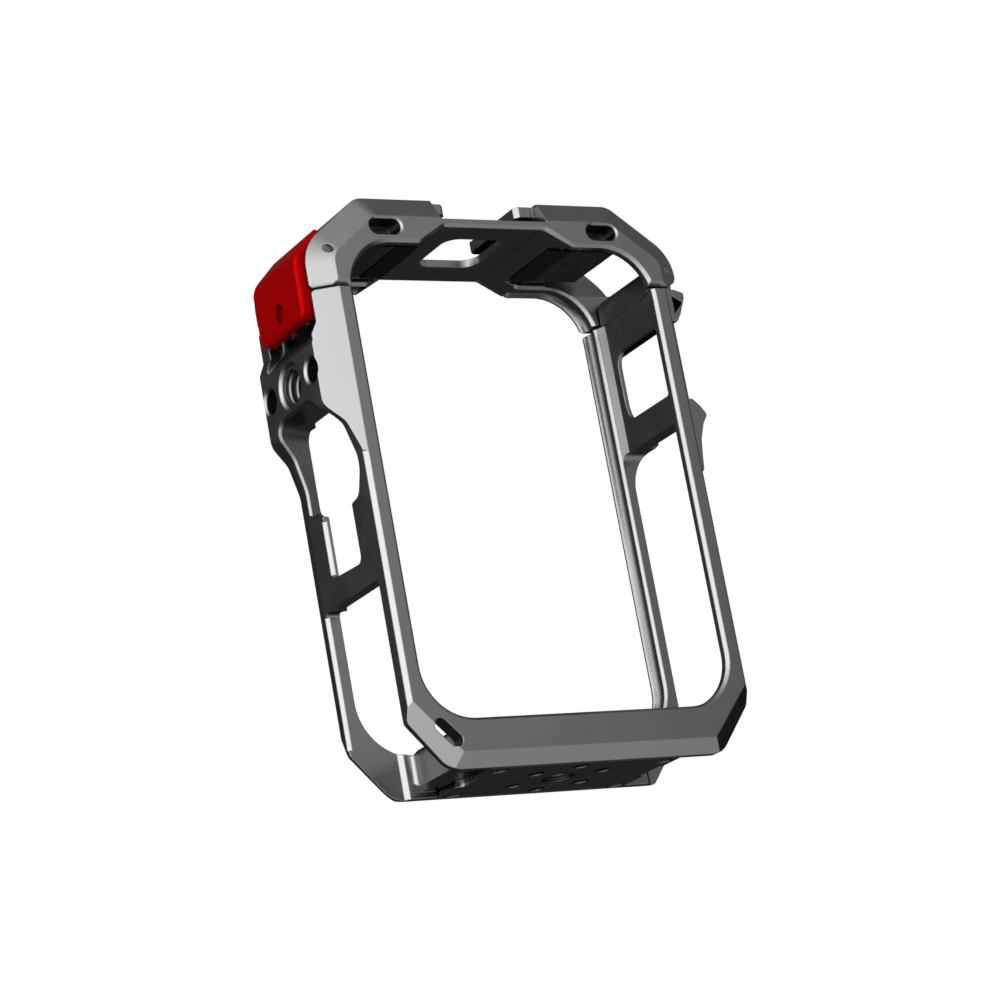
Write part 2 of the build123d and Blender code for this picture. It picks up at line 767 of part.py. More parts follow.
def rear_top_round():
    """Rounds the rear lip off where it ends under the lid on the right."""
    size = rear_top_rounding
    corner = block(
        (camera_half_width - 1, camera_half_width + wall_recess_depth), (rear - size, rear + 1),
        (frame_top_right - size, frame_top_right + 1),
    )
    return corner - disc_x(
        rear - size, frame_top_right - size, size, camera_half_width - 2, camera_half_width + 3,
    )


def corner_slot_outline():
    """The strap slot in the lower left corner of the front band."""
    slot = SlotOverall(corner_slot_length, corner_slot_width)
    return Pos(corner_slot_x, corner_slot_z) * Rot(0, 0, -47) * slot


def catch_screw_places():
    return (-catch_half_length + 1.1, catch_half_length - 1.1)


def catch_spring():
    """A bent spring strip on the left wall; its lip holds the lever's hook down."""
    back = -finger_recess_half
    lip_under = hook_top + catch_gap
    strip = block(
        (back - catch_thickness, back), (-catch_half_length, catch_half_length),
        (catch_foot, lip_under + catch_thickness),
    )
    strip += block(
        (-hook_tip_half - 0.5, back), (-catch_half_length, catch_half_length),
        (lip_under, lip_under + catch_thickness),
    )
    for place in catch_screw_places():
        strip -= disc_x(place, catch_screw_height, catch_screw_radius, -BEYOND, 0)
    return strip


def catch_screws():
    head_back = -finger_recess_half - catch_thickness
    screws = []
    for place in catch_screw_places():
        screw = disc_x(place, catch_screw_height, catch_screw_radius, head_back, -finger_recess_half + 1.6)
        screw += disc_x(place, catch_screw_height, catch_screw_head_radius, head_back - 0.25, head_back)
        screws.append(screw)
    return Compound(screws)


def lid_outline(half, corner, corner_radius, top_half, top, top_radius):
    """The lid seen from the front, from its lower ends over both shoulders."""
    left_bottom, right_bottom = frame_top_left + lid_gap, frame_top_right + lid_end_gap
    points = [(0, right_bottom), (0, left_bottom), (-half, left_bottom), (-half, corner), (-top_half, top)]
    points += [(top_half, top), (half, corner), (half, right_bottom)]
    radii = [0, 0, lid_end_corner, corner_radius, top_radius, top_radius, corner_radius, 0]
    return rounded(points, radii)


def lid_outer_outline():
    return lid_outline(
        lid_half_width, lid_corner_height, lid_corner_radius, lid_top_half, lid_top, lid_top_radius,
    )


def lid_face_outline():
    return lid_outline(
        face_half_width, lid_face_corner_height, lid_face_corner_radius, lid_face_top_half, lid_face_top,
        lid_face_top_radius,
    )


def lid_blank():
    bevel = loft([
        Plane.XZ.offset(-depth(0)) * lid_face_outline(),
        Plane.XZ.offset(-depth(facet_depth)) * lid_outer_outline(),
    ], ruled=True)
    return along_y(lid_outer_outline(), facet_depth, cage_depth - facet_depth) + both_faces(bevel)


def lid_end_bevels():
    """The front and rear edges of the lower ends are bevelled underneath."""
    bevels = []
    for side, bottom in ((-1, frame_top_left + lid_gap), (1, frame_top_right + lid_end_gap)):
        wedge = edge_bevel(0, bottom + lid_end_bevel, (0, -1), lid_end_bevel, lid_end_bevel)
        start, end = sorted((side * lid_end_bevel_start, side * BEYOND))
        bevels.append(wedge & block((start, end), (front, rear), (bottom - 1, bottom + lid_end_bevel)))
    return bevels[0] + bevels[1]


def arch_lean(side):
    """The rear arch leans back towards its outer edge above the pins."""
    start = depth(arch_far)
    slope = arch_lean_depth / arch_lean_width
    inner = arch_lean_radius - 1
    outer = arch_lean_radius + 2 * arch_lean_width
    profile = polygon([
        (inner, start - 1), (inner, start - slope), (outer, start + 2 * arch_lean_depth), (outer, start - 1),
    ])
    cone = Pos(arch_lean_centre, 0, lip_top - arch_lean_radius) * revolve(Plane.XY * profile, Axis.Y)
    cone &= block((arch_lean_centre, BEYOND), (front, rear + 1), (arch_lean_foot, BEYOND * 2))
    return cone if side > 0 else mirror(cone, about=Plane.YZ)


def lid_underside():
    """All that is taken away between the two arches: the space under the ceiling and both shoulders."""
    slope = (lip_shoulder_half - bar_half) / (bar_underside - lip_top)
    ceiling_inner = lip_shoulder_half - (ceiling - lip_top) * slope
    right = [
        (bar_half, bar_underside), (ceiling_inner, ceiling), (ceiling_half, ceiling),
        (skin_end_half, skin_end_height), (skin_end_half, BEYOND * 2), (BEYOND, BEYOND * 2), (BEYOND, 0),
    ]
    left = [(-x, z) for x, z in reversed(right)]
    return along_y(polygon(right + left), arch_near, arch_far)


def shoe_web():
    """The plain web under the top shoe: the recess and the rear lip stop at the lid's shoulders."""
    end = lip_shoulder_half - shoe_web_margin
    end_height = lip_top + shoe_web_margin * (bar_underside - lip_top) / (lip_shoulder_half - bar_half)
    web = polygon([
        (-end, end_height), (-bar_half, bar_underside), (bar_half, bar_underside), (end, end_height),
        (end, end_height + shoe_web_thickness), (bar_half, bar_underside + shoe_web_thickness),
        (-bar_half, bar_underside + shoe_web_thickness), (-end, end_height + shoe_web_thickness),
    ])
    return along_y(web, lip_thickness, cage_depth)


def top_shoe():
    """The cold shoe cut into the top of the lid, open at both ends."""
    half = shoe_width / 2
    slot = block((-half, half), (front - 1, rear + 1), (shoe_floor, shoe_floor + shoe_slot_height))
    neck = block((-shoe_neck / 2, shoe_neck / 2), (front - 1, rear + 1), (shoe_floor, lid_top + 1))
    ends = block((-half, half), (front - 1, depth(shoe_rail_start)), (shoe_floor, lid_top + 1))
    nose = shoe_rail_start + shoe_nose_chamfer
    tip = shoe_neck / 2 + shoe_nose_chamfer
    noses = along_z(polygon([
        (-tip, depth(shoe_rail_start) - 0.01), (tip, depth(shoe_rail_start) - 0.01),
        (shoe_neck / 2 - 0.01, depth(nose)), (-shoe_neck / 2 + 0.01, depth(nose)),
    ]), shoe_floor, lid_top + 1)
    return slot + neck + both_faces(ends) + both_faces(noses)


def lid_end_cut():
    """Rounds the right lower ends about the hinge pin, so that they swing clear of the side shoe."""
    bottom = frame_top_right + lid_end_gap
    start = hinge_x - 0.8
    corner = block((start, BEYOND), (front - 1, rear + 1), (bottom - 1, hinge_z))
    keep = disc_y(hinge_x, hinge_z, lid_end_radius, front - 1, rear + 1)
    toe = hinge_x + 0.35 * lid_end_radius
    keep += along_y(polygon([
        (start - 1, bottom), (start + 0.3, bottom), (toe, hinge_z - 0.93 * lid_end_radius),
        (hinge_x, hinge_z), (start - 1, hinge_z),
    ]), -1, cage_depth + 1)
    return corner - keep


def strap_slot_outline(x, growth=0.0):
    slot = SlotOverall(strap_slot_length + 2 * growth, strap_slot_width + 2 * growth)
    return Pos(x, strap_slot_z) * slot


def lid_frame():
    body = lid_blank() - camera_space()
    body -= wall_recess()
    body += shoe_web()
    body -= lid_underside()
    body -= lid_end_bevels()
    for side in (-1, 1):
        body -= arch_lean(side)
    body -= top_shoe()
    body -= lid_end_cut()
    button_hole = block(
        (-button_hole_left, button_hole_right), (depth(button_hole_front), depth(button_hole_rear)),
        (bar_underside - 1, lid_top),
    )
    body -= fillet(button_hole.edges().filter_by(Axis.Z), button_hole_radius)
    for x in (-strap_slot_x, strap_slot_x):
        body -= both_faces(along_y(strap_slot_outline(x), -1, strap_slot_depth))
        mouth = loft([
            Plane.XZ.offset(-front) * strap_slot_outline(x, strap_slot_chamfer),
            Plane.XZ.offset(-depth(strap_slot_chamfer)) * strap_slot_outline(x),
        ], ruled=True)
        body -= both_faces(mouth)
    body -= disc_y(hinge_x, hinge_z, pin_radius, front, rear)
    body -= disc_y(latch_x, latch_z, pin_radius, front, rear)
    return body


def cross_pin(x, z):
    return disc_y(x, z, pin_radius, front + pin_end_recess, rear - pin_end_recess)


def pin_washers(x, z):
    """Thin washers that fill the gap between an eye and the arches."""
    washers = []
    for start in (arch_near, arch_far - side_clearance):
        washer = disc_y(x, z, washer_radius, depth(start), depth(start + side_clearance))
        washers.append(washer - disc_y(x, z, pin_radius + running_clearance, front, rear))
    return Compound(washers)


def lid_pad(inner, outer, thickness, side):
    pad = block((inner, outer), (depth(lid_pad_front), depth(lid_pad_rear)), (ceiling - thickness, ceiling))
    return pad if side > 0 else mirror(pad, about=Plane.YZ)


def lever_skin_outline():
    """The lever seen from the front: a plate that follows the lid's shoulder and then hangs down."""
    face = -lever_face_half
    inner = face + lever_thickness
    top_x = latch_x - lever_tip_reach
    reach = lever_thickness * 1.41
    points = [
        (inner, lever_foot), (face, lever_foot), (face, lever_corner_height), (top_x, lever_top),
        (top_x + 0.6, lever_top - 0.9), (top_x - 0.2, lever_top - reach), (inner, lever_corner_height - 0.9),
    ]
    return rounded(points, [0.3, 0, lever_bend_radius, 0.4, 0.3, 0, 2.0])


def on_lever_rim(edge):
    """Whether an edge runs round the outer skin of the lever, where the hand touches it."""
    place = edge.center()
    beyond_face = -lever_face_half - place.X
    shoulder_height = lever_corner_height + lever_shoulder_slope * (place.X + lever_face_half)
    beyond_shoulder = (place.Z - shoulder_height) * cos(radians(45))
    on_skin = max(beyond_face, beyond_shoulder) > -lever_thickness / 4
    across = abs(edge.tangent_at(0.5).Y) > 0.9 and place.Z > lever_foot + lever_foot_radius
    return on_skin and not across and place.Z < lever_top - 0.4


def latch_lever():
    near, far = depth(arch_near + side_clearance), depth(arch_far - side_clearance)
    skin = along_y(lever_skin_outline(), arch_near + side_clearance, arch_far - side_clearance)
    for toe, way in ((near, 1), (far, -1)):
        middle = toe + way * lever_foot_radius
        height = lever_foot + lever_foot_radius
        corner = block(
            (-BEYOND, -lever_face_half + lever_thickness + 0.01), tuple(sorted((toe - way, middle))),
            (lever_foot - 1, height),
        )
        skin -= corner - disc_x(middle, height, lever_foot_radius, -BEYOND - 1, 0)
    skin = fillet(skin.edges().filter_by(on_lever_rim), lever_edge_radius)
    skin -= disc_x(depth(lever_dimple_place), lever_dimple_height, lever_dimple_radius,
                   -BEYOND, -lever_face_half + lever_dimple_depth)
    lever = skin + disc_y(latch_x, latch_z, barrel_radius, near, far)
    lever += block(
        (-lever_face_half + lever_thickness - 0.3, -hook_tip_half), (-hook_half_length, hook_half_length),
        (hook_top - hook_height, hook_top),
    )
    lever -= disc_y(latch_x, latch_z, pin_radius + running_clearance, front, rear)
    coil = spring_turns * spring_wire / 2 + spring_pocket_clearance
    pocket_radius = spring_inner_radius + spring_wire + spring_pocket_clearance
    lever -= disc_y(latch_x, latch_z, pocket_radius, -coil, coil)
    lever -= block(
        (latch_x, latch_x + barrel_radius + 1), (-coil, coil),
        (latch_z - barrel_radius - 1, latch_z + pocket_radius),
    )
    return lever


def latch_spring():
    """The coil around the latch pin, drawn as touching turns, with one leg that presses on the lever."""
    wire = spring_wire / 2
    middle = spring_inner_radius + wire
    length = spring_turns * spring_wire
    coil = disc_y(latch_x, latch_z, middle + wire * 0.6, -length / 2, length / 2)
    coil -= disc_y(latch_x, latch_z, spring_inner_radius, front, rear)
    for turn in range(spring_turns):
        place = -length / 2 + spring_wire * (turn + 0.5)
        coil += Pos(latch_x, place, latch_z) * Rot(90, 0, 0) * Torus(middle, wire)
    leg_y = length / 2 - wire
    leg = Pos(latch_x + middle, leg_y, latch_z - spring_leg / 2) * Cylinder(wire, spring_leg)
    return coil + leg


def base_plate():
    """The quick-release plate under the frame, with undercut ends for the claws of a clamp."""
    half = base_plate_half
    profile = polygon([
        (-half, 0), (half, 0), (half - base_plate_dovetail, base_plate_thickness),
        (-half + base_plate_dovetail, base_plate_thickness),
    ])
    centre = cage_depth / 2
    plate = along_y(profile, centre - base_plate_half_depth, centre + base_plate_half_depth)
    plate -= disc_z(0, 0, base_insert_radius, -1, base_plate_thickness + 1)
    for side in (-1, 1):
        start, end = sorted((side * (half - claw_pocket_depth), side * (half + 1)))
        claw = block(
            (start, end), (depth(claw_pocket_near), depth(claw_pocket_far)), (-1, claw_notch_height),
        )
        plate -= fillet(claw.edges().filter_by(Axis.Z), 0.95)
    for place in base_pin_places():
        plate -= place * disc_z(0, 0, base_pin_hole_radius, -1, base_pin_hole_depth)
    for x, y in base_screw_places():
        plate -= disc_z(x, y, base_screw_radius, 0, base_plate_thickness + 1)
        plate -= disc_z(x, y, base_screw_head_radius + base_fit, -1, base_screw_head_height)
    return plate


def base_screws():
    screws = []
    for x, y in base_screw_places():
        screw = disc_z(x, y, base_screw_head_radius, 0.1, base_screw_head_height)
        screw += disc_z(x, y, base_screw_radius, base_screw_head_height, base_screw_length)
        screw -= Pos(x, y, 0) * extrude(RegularPolygon(socket_radius, 6), amount=0.1 + socket_depth)
        screws.append(screw)
    return Compound(screws)


def base_pad():
    """The soft pad that the camera stands on."""
    half = base_half_width - base_pad_margin
    half_depth = cage_depth / 2 - rail_thickness - 0.1
    pad = block((-half, half), (-half_depth, half_depth), (base_top, base_top + base_pad_thickness))
    return fillet(pad.edges().filter_by(Axis.Z), 2.0)


nodes = {
    "main_frame": main_frame(),
    "base_plate": base_plate(),
    "base_screws": base_screws(),
    "base_thread_insert": thread_insert(base_insert_radius, 0, base_top),
    "side_thread_insert": at_side_hole(
        thread_insert(tripod_core_radius + insert_wall, insert_recess, side_hole_depth)
    ),
    "base_pad": base_pad(),
    "catch_spring": catch_spring(),
    "catch_screws": catch_screws(),
    "hinge_washers": pin_washers(hinge_x, hinge_z),
    "hinge_pin": cross_pin(hinge_x, hinge_z),
    "lid_frame": lid_frame(),
    "lid_foam_left": lid_pad(foam_inner_half, foam_outer_half, foam_thickness, -1),
    "lid_foam_right": lid_pad(foam_inner_half, foam_outer_half, foam_thickness, 1),
    "lid_strip_left": lid_pad(strip_inner_half, strip_outer_half, strip_thickness, -1),
    "lid_strip_right": lid_pad(strip_inner_half, strip_outer_half, strip_thickness, 1),
    "latch_pin": cross_pin(latch_x, latch_z),
    "latch_washers": pin_washers(latch_x, latch_z),
    "latch_lever": latch_lever(),
    "latch_spring": latch_spring(),
}

os.makedirs("parts", exist_ok=True)
for name, shape in nodes.items():
    export_step(shape, f"parts/{name}.step")
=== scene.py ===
import bpy, bmesh, math
from mathutils import Matrix, Vector


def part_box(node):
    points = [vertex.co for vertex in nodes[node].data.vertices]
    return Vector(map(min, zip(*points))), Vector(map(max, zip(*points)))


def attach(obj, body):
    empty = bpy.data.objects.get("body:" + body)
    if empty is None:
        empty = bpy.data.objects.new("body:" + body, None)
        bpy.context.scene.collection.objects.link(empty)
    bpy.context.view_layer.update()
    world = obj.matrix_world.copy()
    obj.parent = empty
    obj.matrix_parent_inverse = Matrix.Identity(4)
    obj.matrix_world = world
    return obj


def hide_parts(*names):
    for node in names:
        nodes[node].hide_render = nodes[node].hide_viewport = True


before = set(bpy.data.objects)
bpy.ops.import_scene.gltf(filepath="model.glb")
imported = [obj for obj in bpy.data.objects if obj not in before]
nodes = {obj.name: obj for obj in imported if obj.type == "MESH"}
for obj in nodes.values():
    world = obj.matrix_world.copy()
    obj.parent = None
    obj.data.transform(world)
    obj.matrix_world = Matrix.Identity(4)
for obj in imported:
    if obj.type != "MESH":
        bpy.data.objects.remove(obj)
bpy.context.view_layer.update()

# The camera looks up at the cage from the lower left, with a long lens and a small roll.
# Its distance keeps the cage's upright edges almost parallel.
turn, tilt, roll = math.radians(-32.405), math.radians(-15.528), math.radians(-10.521)
towards_camera = Vector((
    math.sin(turn) * math.cos(tilt), -math.cos(turn) * math.cos(tilt), math.sin(tilt)
))
level_right = (-towards_camera).cross(Vector((0, 0, 1))).normalized()
level_up = level_right.cross(-towards_camera)
camera_right = math.cos(roll) * level_right + math.sin(roll) * level_up
camera_up = -math.sin(roll) * level_right + math.cos(roll) * level_up
camera_place = Vector((-0.27616, -0.43315, -0.09896))
camera_data = bpy.data.cameras.new("main_camera")
camera = bpy.data.objects.new("main_camera", camera_data)
bpy.context.scene.collection.objects.link(camera)
camera_data.sensor_width = 36.0
camera_data.lens = 126.36
camera_data.clip_start = 0.01
camera_data.clip_end = 20.0
camera.matrix_world = Matrix((
    (camera_right.x, camera_up.x, towards_camera.x, camera_place.x),
    (camera_right.y, camera_up.y, towards_camera.y, camera_place.y),
    (camera_right.z, camera_up.z, towards_camera.z, camera_place.z),
    (0, 0, 0, 1),
))
bpy.context.scene.camera = camera

# The room: a white surround, which the camera, metal and glass see at full strength.
# The view transform is Standard, so a colour comes out as it is written.
bpy.context.scene.view_settings.view_transform = "Standard"
world = bpy.data.worlds.new("white_room")
bpy.context.scene.world = world
world.use_nodes = True
room = world.node_tree
room.nodes.clear()
seen_by = room.nodes.new("ShaderNodeLightPath")
camera_or_gloss = room.nodes.new("ShaderNodeMath")
camera_or_gloss.operation = "MAXIMUM"
room.links.new(seen_by.outputs["Is Camera Ray"], camera_or_gloss.inputs[0])
room.links.new(seen_by.outputs["Is Glossy Ray"], camera_or_gloss.inputs[1])
any_of_three = room.nodes.new("ShaderNodeMath")
any_of_three.operation = "MAXIMUM"
room.links.new(camera_or_gloss.outputs[0], any_of_three.inputs[0])
room.links.new(seen_by.outputs["Is Transmission Ray"], any_of_three.inputs[1])
dim = room.nodes.new("ShaderNodeBackground")
dim.inputs["Color"].default_value = (0.8, 0.82, 0.85, 1)
dim.inputs["Strength"].default_value = 0.4
bright = room.nodes.new("ShaderNodeBackground")
bright.inputs["Color"].default_value = (1, 1, 1, 1)
bright.inputs["Strength"].default_value = 1.0
room_mix = room.nodes.new("ShaderNodeMixShader")
room_out = room.nodes.new("ShaderNodeOutputWorld")
room.links.new(any_of_three.outputs[0], room_mix.inputs["Fac"])
room.links.new(dim.outputs[0], room_mix.inputs[1])
room.links.new(bright.outputs[0], room_mix.inputs[2])
room.links.new(room_mix.outputs[0], room_out.inputs["Surface"])

# The light tent: a large soft shell round the cage, bright at the front left and dark behind.
# The metal mirrors it; the camera looks straight through it, and it casts no shadow.
tent_radius = 0.5
tent_mesh = bpy.data.meshes.new("light_tent")
shell = bmesh.new()
bmesh.ops.create_icosphere(shell, subdivisions=4, radius=tent_radius)
bmesh.ops.reverse_faces(shell, faces=shell.faces)
shell.to_mesh(tent_mesh)
shell.free()
tent = bpy.data.objects.new("light_tent", tent_mesh)
bpy.context.scene.collection.objects.link(tent)
for tent_face in tent_mesh.polygons:
    tent_face.use_smooth = True
tent.visible_camera = False
tent.visible_transmission = False
tent.visible_shadow = False
tent_cloth = bpy.data.materials.new("tent_cloth")
tent_cloth.use_nodes = True
cloth = tent_cloth.node_tree
cloth.nodes.clear()
place = cloth.nodes.new("ShaderNodeTexCoord")
direction = cloth.nodes.new("ShaderNodeVectorMath")
direction.operation = "NORMALIZE"
cloth.links.new(place.outputs["Object"], direction.inputs[0])
cloth_out = cloth.nodes.new("ShaderNodeOutputMaterial")
glow = cloth.nodes.new("ShaderNodeEmission")
cloth.links.new(glow.outputs[0], cloth_out.inputs["Surface"])


def soft_patch(tree, way, towards, start, end, sharpness, strength):
    """One lit patch of the tent, strongest in one direction; it fades from cosine start to end."""
    along = tree.nodes.new("ShaderNodeVectorMath")
    along.operation = "DOT_PRODUCT"
    along.inputs[1].default_value = Vector(towards).normalized()
    tree.links.new(way.outputs[0], along.inputs[0])
    fade = tree.nodes.new("ShaderNodeMapRange")
    fade.inputs["From Min"].default_value = end
    fade.inputs["From Max"].default_value = start
    tree.links.new(along.outputs["Value"], fade.inputs["Value"])
    shaped = tree.nodes.new("ShaderNodeMath")
    shaped.operation = "POWER"
    shaped.inputs[1].default_value = sharpness
    tree.links.new(fade.outputs["Result"], shaped.inputs[0])
    lit = tree.nodes.new("ShaderNodeMath")
    lit.operation = "MULTIPLY"
    lit.inputs[1].default_value = strength
    tree.links.new(shaped.outputs[0], lit.inputs[0])
    return lit.outputs[0]


# In order: the key light on the left, the broad front light, the light from below, the light on
# the right shoulder, and two faint fills behind. Each row ends with its sharpness and strength.
tent_level = None
for towards, start, end, sharpness, strength in (
    ((-0.90, -0.38, 0.22), 1.00, 0.25, 2.0, 2.75),
    ((-0.50, -0.80, 0.42), 1.00, 0.12, 1.0, 1.18),
    ((0.10, -0.56, -0.82), 0.88, 0.45, 1.0, 0.82),
    ((0.80, 0.05, 0.60), 0.98, 0.75, 1.0, 0.30),
    ((-0.40, 0.90, 0.20), 0.95, -0.40, 1.0, 0.05),
    ((0.60, 0.75, 0.10), 0.97, 0.30, 1.0, 0.06),
):
    patch = soft_patch(cloth, direction, towards, start, end, sharpness, strength)
    if tent_level is None:
        tent_level = patch
    else:
        both = cloth.nodes.new("ShaderNodeMath")
        both.operation = "ADD"
        cloth.links.new(tent_level, both.inputs[0])
        cloth.links.new(patch, both.inputs[1])
        tent_level = both.outputs[0]
cloth.links.new(tent_level, glow.inputs["Strength"])
tent_mesh.materials.append(tent_cloth)

# The floor: a round pale sheet just under the base that fades into the white surround at its rim.
# It is clear from below, so that the cage can be looked at from underneath.
floor_radius, fade_start, rim_width = 0.46, 0.16, 0.01
floor_drop, floor_glow = 0.0004, 0.55
floor_colour = (0.9, 0.9, 0.9, 1)
floor_mesh = bpy.data.meshes.new("floor")
sheet = bmesh.new()
bmesh.ops.create_circle(sheet, cap_ends=True, segments=96, radius=floor_radius)
bmesh.ops.translate(sheet, verts=sheet.verts, vec=(0, 0, -floor_drop))
sheet.to_mesh(floor_mesh)
sheet.free()
floor = bpy.data.objects.new("floor", floor_mesh)
bpy.context.scene.collection.objects.link(floor)
floor.visible_glossy = False
floor_paint = bpy.data.materials.new("floor_paint")
floor_paint.use_nodes = True
paint = floor_paint.node_tree
paint.nodes.clear()
pale = paint.nodes.new("ShaderNodeBsdfDiffuse")
pale.inputs["Color"].default_value = floor_colour
white = paint.nodes.new("ShaderNodeEmission")
white.inputs["Color"].default_value = floor_colour
lifted = paint.nodes.new("ShaderNodeMixShader")
lifted.inputs["Fac"].default_value = floor_glow
paint.links.new(pale.outputs[0], lifted.inputs[1])
paint.links.new(white.outputs[0], lifted.inputs[2])
spot = paint.nodes.new("ShaderNodeTexCoord")
from_middle = paint.nodes.new("ShaderNodeVectorMath")
from_middle.operation = "LENGTH"
paint.links.new(spot.outputs["Object"], from_middle.inputs[0])
rim_fade = paint.nodes.new("ShaderNodeMapRange")
rim_fade.interpolation_type = "SMOOTHERSTEP"
rim_fade.inputs["From Min"].default_value = fade_start
rim_fade.inputs["From Max"].default_value = floor_radius - rim_width
paint.links.new(from_middle.outputs["Value"], rim_fade.inputs["Value"])
side_of_floor = paint.nodes.new("ShaderNodeNewGeometry")
see_through = paint.nodes.new("ShaderNodeMath")
see_through.operation = "MAXIMUM"
paint.links.new(side_of_floor.outputs["Backfacing"], see_through.inputs[0])
paint.links.new(rim_fade.outputs["Result"], see_through.inputs[1])
clear = paint.nodes.new("ShaderNodeBsdfTransparent")
floor_mix = paint.nodes.new("ShaderNodeMixShader")
floor_out = paint.nodes.new("ShaderNodeOutputMaterial")
paint.links.new(see_through.outputs[0], floor_mix.inputs["Fac"])
paint.links.new(lifted.outputs[0], floor_mix.inputs[1])
paint.links.new(clear.outputs[0], floor_mix.inputs[2])
paint.links.new(floor_mix.outputs[0], floor_out.inputs["Surface"])
floor_mesh.materials.append(floor_paint)

# The frame, the lid and the base plate are milled aluminium, bead-blasted and anodised dark grey.
# The blasting leaves a very fine grain, the dye is a little uneven, and the edges are lightly
# broken. Screws hold the plate under the frame, and a pin hinges the lid on it.


def blasted_metal(name, colour, metallic, roughness, grain, unevenness, broken_edge):
    """Metal with a fine blasted grain, a faintly cloudy gloss, painted shade darkening its
    crevices, and broken edges.
    """
    cloud_size, grain_size, grain_depth, painted_shade_reach = 140.0, 5200.0, 0.00002, 0.0035
    dye_spread, gloss_tint = 0.06, 0.45
    metal = bpy.data.materials.new(name)
    metal.use_nodes = True
    tree = metal.node_tree
    shader = tree.nodes["Principled BSDF"]
    shader.inputs["Metallic"].default_value = metallic
    where = tree.nodes.new("ShaderNodeTexCoord")
    cloud = tree.nodes.new("ShaderNodeTexNoise")
    cloud.inputs["Scale"].default_value = cloud_size
    cloud.inputs["Detail"].default_value = 3.0
    tree.links.new(where.outputs["Object"], cloud.inputs["Vector"])
    gloss = tree.nodes.new("ShaderNodeMapRange")
    gloss.inputs["From Min"].default_value = 0.3
    gloss.inputs["From Max"].default_value = 0.7
    gloss.inputs["To Min"].default_value = roughness - unevenness
    gloss.inputs["To Max"].default_value = roughness + unevenness
    tree.links.new(cloud.outputs["Fac"], gloss.inputs["Value"])
    tree.links.new(gloss.outputs["Result"], shader.inputs["Roughness"])
    tint = tree.nodes.new("ShaderNodeMixRGB")
    tint.inputs["Color1"].default_value = (*[c * (1 - dye_spread) for c in colour], 1)
    tint.inputs["Color2"].default_value = (*[c * (1 + dye_spread) for c in colour], 1)
    tree.links.new(cloud.outputs["Fac"], tint.inputs["Fac"])
    # Painted shade: ambient occlusion darkens the base colour in crevices, recesses, holes and
    # inside corners, where shade falls.
    painted_shade = tree.nodes.new("ShaderNodeAmbientOcclusion")
    painted_shade.samples = 4
    painted_shade.only_local = True
    painted_shade.inputs["Distance"].default_value = painted_shade_reach
    painted_shade_tone = tree.nodes.new("ShaderNodeMapRange")
    painted_shade_tone.inputs["From Min"].default_value = 0.15
    painted_shade_tone.inputs["From Max"].default_value = 0.75
    painted_shade_tone.inputs["To Min"].default_value = 0.25
    painted_shade_tone.inputs["To Max"].default_value = 1.0
    tree.links.new(painted_shade.outputs["AO"], painted_shade_tone.inputs["Value"])
    colour_with_painted_shade = tree.nodes.new("ShaderNodeVectorMath")
    colour_with_painted_shade.operation = "SCALE"
    tree.links.new(tint.outputs["Color"], colour_with_painted_shade.inputs[0])
    tree.links.new(painted_shade_tone.outputs["Result"], colour_with_painted_shade.inputs["Scale"])
    tree.links.new(colour_with_painted_shade.outputs["Vector"], shader.inputs["Base Color"])
    shader.inputs["Specular Tint"].default_value = (gloss_tint, gloss_tint, gloss_tint, 1)
    speck = tree.nodes.new("ShaderNodeTexNoise")
    speck.inputs["Scale"].default_value = grain_size
    speck.inputs["Detail"].default_value = 2.0
    tree.links.new(where.outputs["Object"], speck.inputs["Vector"])
    bump = tree.nodes.new("ShaderNodeBump")
    bump.inputs["Strength"].default_value = grain
    bump.inputs["Distance"].default_value = grain_depth
    tree.links.new(speck.outputs["Fac"], bump.inputs["Height"])
    edge = tree.nodes.new("ShaderNodeBevel")
    edge.samples = 4
    edge.inputs["Radius"].default_value = broken_edge
    tree.links.new(edge.outputs["Normal"], bump.inputs["Normal"])
    tree.links.new(bump.outputs["Normal"], shader.inputs["Normal"])
    return metal


def finish(metal, *names):
    """Give these CAD solids one metal."""
    for name in names:
        for material_slot in nodes[name].material_slots:
            material_slot.material = metal


grey_anodised = blasted_metal(
    "grey_anodised", (0.245, 0.25, 0.252), metallic=1.0, roughness=0.27, grain=0.25,
    unevenness=0.03, broken_edge=0.00024,
)
finish(grey_anodised, "main_frame", "lid_frame", "base_plate")

# The lever is milled from the same aluminium and anodised a deep red, which keeps little gloss.
# The pin in the lid's left end carries it.
red_anodised = blasted_metal(
    "red_anodised", (0.29, 0.0007, 0.0009), metallic=0.5, roughness=0.35, grain=0.2,
    unevenness=0.03, broken_edge=0.0002,
)
red_anodised.node_tree.nodes["Principled BSDF"].inputs["Specular IOR Level"].default_value = 0.015
finish(red_anodised, "latch_lever")

# The pins, screws, washers, springs and thread inserts are plain turned or drawn steel.
# They are pressed, screwed or wound into place, and keep sharper edges than the aluminium.
turned_steel = blasted_metal(
    "turned_steel", (0.20, 0.20, 0.205), metallic=1.0, roughness=0.28, grain=0.1,
    unevenness=0.04, broken_edge=0.00008,
)
finish(
    turned_steel, "hinge_pin", "latch_pin", "hinge_washers", "latch_washers", "base_screws",
    "base_thread_insert", "side_thread_insert", "catch_spring", "catch_screws", "latch_spring",
)

# The pads that touch the camera are die-cut sheets, glued to the lid's ceiling and to the base.
# Two speckled felt pads and two black rubber strips are under the lid, and a rubber pad is on
# the base. The cutting leaves their edges a little rounded.


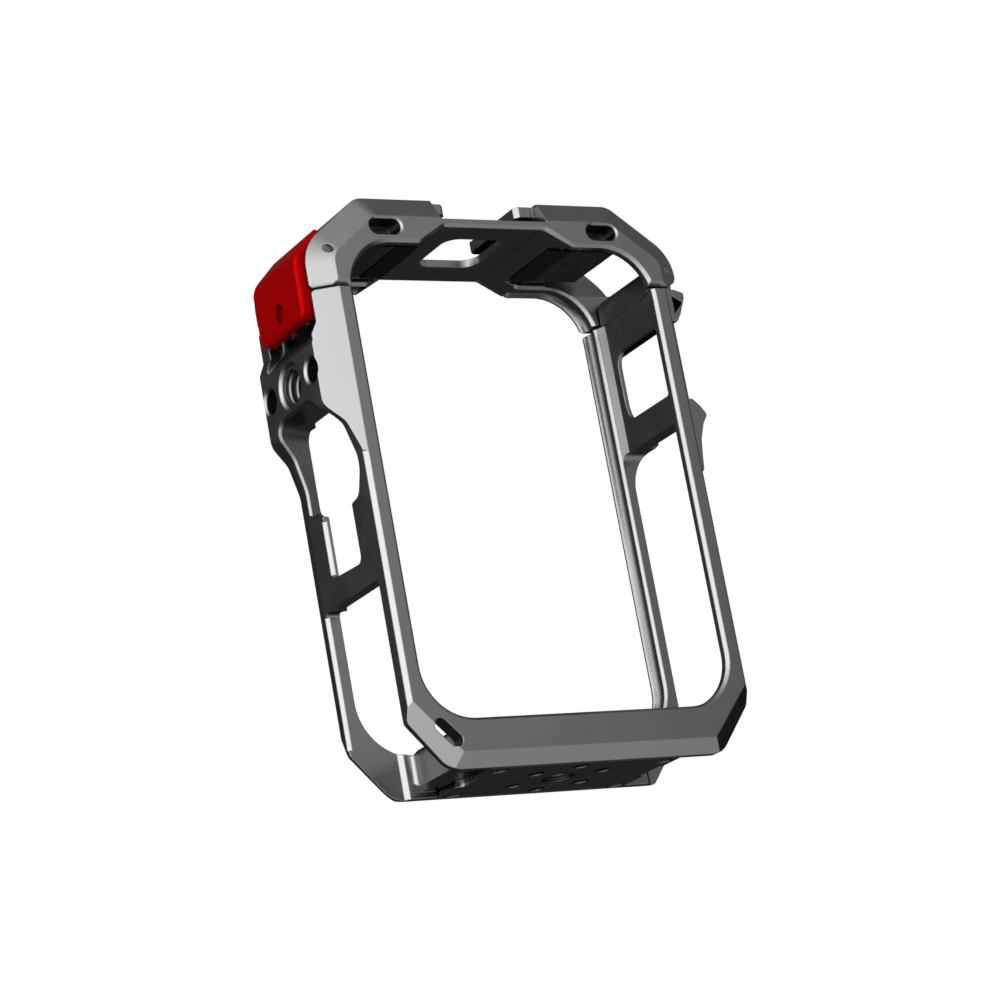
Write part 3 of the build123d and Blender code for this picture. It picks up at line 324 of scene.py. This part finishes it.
def soft_lining(name, colour, fleck_colour, fleck_size, fleck_share, roughness):
    """A matte lining with small flecks in it."""
    lining = bpy.data.materials.new(name)
    lining.use_nodes = True
    tree = lining.node_tree
    shader = tree.nodes["Principled BSDF"]
    shader.inputs["Roughness"].default_value = roughness
    shader.inputs["Specular IOR Level"].default_value = 0.2
    fleck_softness, fleck_height = 0.12, 0.00005
    where = tree.nodes.new("ShaderNodeTexCoord")
    fleck = tree.nodes.new("ShaderNodeTexNoise")
    fleck.inputs["Scale"].default_value = fleck_size
    fleck.inputs["Detail"].default_value = 1.5
    tree.links.new(where.outputs["Object"], fleck.inputs["Vector"])
    ramp = tree.nodes.new("ShaderNodeValToRGB")
    ramp.color_ramp.elements[0].position = fleck_share
    ramp.color_ramp.elements[0].color = (*colour, 1)
    ramp.color_ramp.elements[1].position = fleck_share + fleck_softness
    ramp.color_ramp.elements[1].color = (*fleck_colour, 1)
    tree.links.new(fleck.outputs["Fac"], ramp.inputs["Fac"])
    tree.links.new(ramp.outputs["Color"], shader.inputs["Base Color"])
    bump = tree.nodes.new("ShaderNodeBump")
    bump.inputs["Strength"].default_value = 0.6
    bump.inputs["Distance"].default_value = fleck_height
    tree.links.new(fleck.outputs["Fac"], bump.inputs["Height"])
    tree.links.new(bump.outputs["Normal"], shader.inputs["Normal"])
    return lining


felt = soft_lining(
    "felt", (0.006, 0.006, 0.0065), (0.05, 0.05, 0.05),
    fleck_size=3800.0, fleck_share=0.56, roughness=0.95,
)
rubber = soft_lining(
    "rubber", (0.0015, 0.0015, 0.0015), (0.003, 0.003, 0.003),
    fleck_size=1500.0, fleck_share=0.5, roughness=0.9,
)


def cut_pad(node, body, lining, rounding):
    """A die-cut sheet with softened edges, glued where the CAD has its plain pad."""
    low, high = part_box(node)
    sheet = bmesh.new()
    bmesh.ops.create_cube(sheet, size=1.0)
    bmesh.ops.scale(sheet, vec=high - low, verts=sheet.verts)
    bmesh.ops.translate(sheet, vec=(low + high) / 2, verts=sheet.verts)
    bmesh.ops.bevel(
        sheet, geom=sheet.edges[:], offset=rounding, segments=3, profile=0.5, affect="EDGES"
    )
    bmesh.ops.recalc_face_normals(sheet, faces=sheet.faces)
    mesh = bpy.data.meshes.new(node + "_sheet")
    sheet.to_mesh(mesh)
    sheet.free()
    mesh.materials.append(lining)
    pad = bpy.data.objects.new(node + "_sheet", mesh)
    bpy.context.scene.collection.objects.link(pad)
    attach(pad, body)
    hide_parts(node)


cut_pad("lid_foam_left", "lid", felt, 0.00012)
cut_pad("lid_foam_right", "lid", felt, 0.00012)
cut_pad("lid_strip_left", "lid", rubber, 0.0002)
cut_pad("lid_strip_right", "lid", rubber, 0.0002)
cut_pad("base_pad", "frame", rubber, 0.00025)
